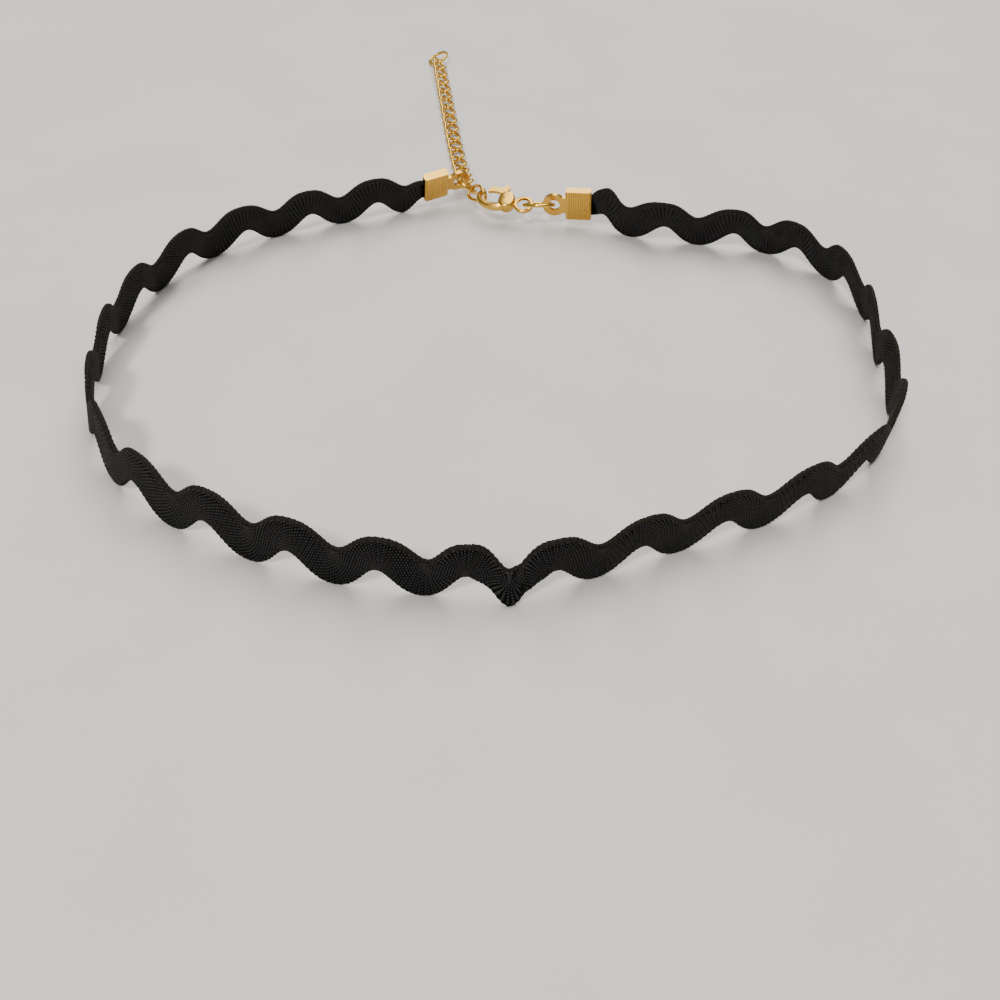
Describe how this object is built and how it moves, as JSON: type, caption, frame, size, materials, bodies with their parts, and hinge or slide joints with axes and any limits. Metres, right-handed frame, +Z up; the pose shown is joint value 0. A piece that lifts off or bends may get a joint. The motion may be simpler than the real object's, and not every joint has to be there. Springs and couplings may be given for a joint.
{
  "type": "choker necklace",
  "caption": "Closed choker loop of flat wavy braid with ribbed metal ends, a sprung hook clasp and an extender chain; stands on its lower edge.",
  "frame": {"origin": "middle of the whole part's box, on the floor it stands on", "axes": "+Z up; -Y the pointed wave at the front of the loop; +Y towards the free end of the chain; +X to the right seen from the front"},
  "size_m": [0.111, 0.1498, 0.0094],
  "materials": {
    "black_braid": "matt woven braid",
    "gold_plated_metal": "bright gold plate",
    "gold_plated_lever": "bright gold plate"
  },
  "bodies": {
    "choker": {"ric_rac_band": "black_braid", "clasp_body": "gold_plated_metal", "closing_link": "gold_plated_metal", "crimp_left": "gold_plated_metal", "crimp_right": "gold_plated_metal", "jump_ring_left": "gold_plated_metal", "jump_ring_right": "gold_plated_metal", "tail_end_ring": "gold_plated_metal", "tail_link_01": "gold_plated_metal", "tail_link_02": "gold_plated_metal", "tail_link_03": "gold_plated_metal", "tail_link_04": "gold_plated_metal", "tail_link_05": "gold_plated_metal", "tail_link_06": "gold_plated_metal", "tail_link_07": "gold_plated_metal", "tail_link_08": "gold_plated_metal", "tail_link_09": "gold_plated_metal", "tail_link_10": "gold_plated_metal", "tail_link_11": "gold_plated_metal", "tail_link_12": "gold_plated_metal", "tail_link_13": "gold_plated_metal", "tail_link_14": "gold_plated_metal", "tail_link_15": "gold_plated_metal", "tail_link_16": "gold_plated_metal"},
    "clasp_lever": {"clasp_lever": "gold_plated_lever"}
  },
  "joints": [
    {"name": "lever_hinge", "type": "hinge", "parent": "choker", "child": "clasp_lever", "pos_m": [0.00085, 0.00968, 0.00436], "axis": [-0.1177, -0.3557, 0.9271], "range_deg": [0, 9], "stiffness_Nm_per_rad": 0.002}
  ]
}
